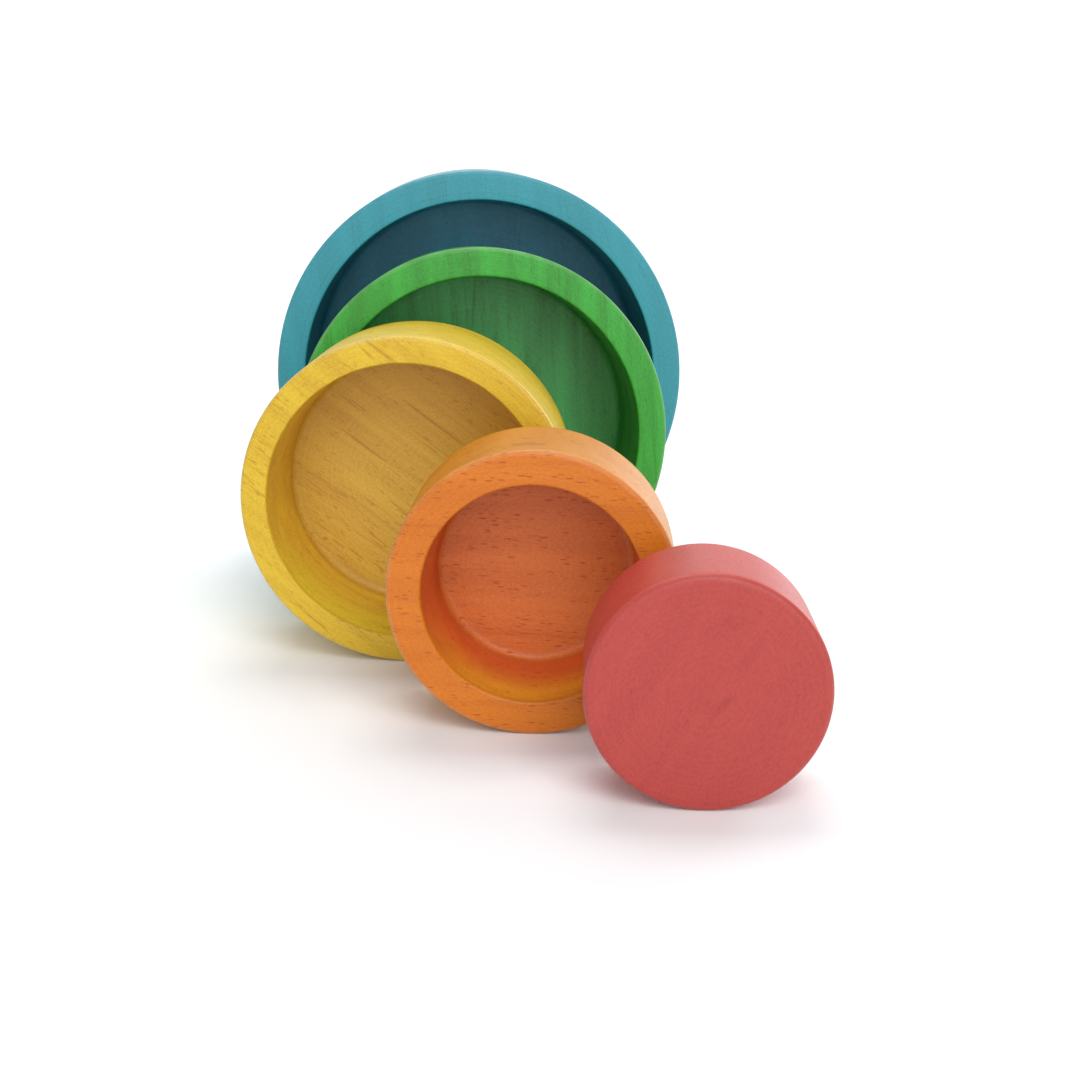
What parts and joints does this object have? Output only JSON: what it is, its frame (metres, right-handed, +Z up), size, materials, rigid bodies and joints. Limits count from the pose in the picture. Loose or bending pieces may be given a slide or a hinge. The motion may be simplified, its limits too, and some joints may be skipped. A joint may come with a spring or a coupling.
{
  "type": "nesting bowls",
  "caption": "Round wooden nesting bowls with straight side walls and flat bases, stained in rainbow colours, standing on their sides in a staggered row.",
  "frame": {"origin": "on the table, under the middle of the row's footprint", "axes": "+Z up; +Y from the smallest bowl at the front to the largest at the back, along the row; +X to the right seen from the front"},
  "size_m": [0.2008, 0.3302, 0.175],
  "materials": {
    "teal_stain": "satin teal stain over visible wood grain",
    "green_stain": "satin green stain over visible wood grain",
    "yellow_stain": "satin yellow stain over visible wood grain",
    "orange_stain": "satin orange stain over visible wood grain",
    "red_stain": "satin red stain over visible wood grain"
  },
  "bodies": {
    "teal_bowl": {"teal_bowl": "teal_stain"},
    "green_bowl": {"green_bowl": "green_stain"},
    "yellow_bowl": {"yellow_bowl": "yellow_stain"},
    "orange_bowl": {"orange_bowl": "orange_stain"},
    "red_bowl": {"red_bowl": "red_stain"}
  },
  "joints": [
    {"name": "green_lift", "type": "slide", "parent": "teal_bowl", "child": "green_bowl", "axis": [0, 0, 1], "range_m": [0, 0.19]},
    {"name": "yellow_lift", "type": "slide", "parent": "teal_bowl", "child": "yellow_bowl", "axis": [0, 0, 1], "range_m": [0, 0.19]},
    {"name": "orange_lift", "type": "slide", "parent": "teal_bowl", "child": "orange_bowl", "axis": [0, 0, 1], "range_m": [0, 0.19]},
    {"name": "red_lift", "type": "slide", "parent": "teal_bowl", "child": "red_bowl", "axis": [0, 0, 1], "range_m": [0, 0.19]}
  ]
}
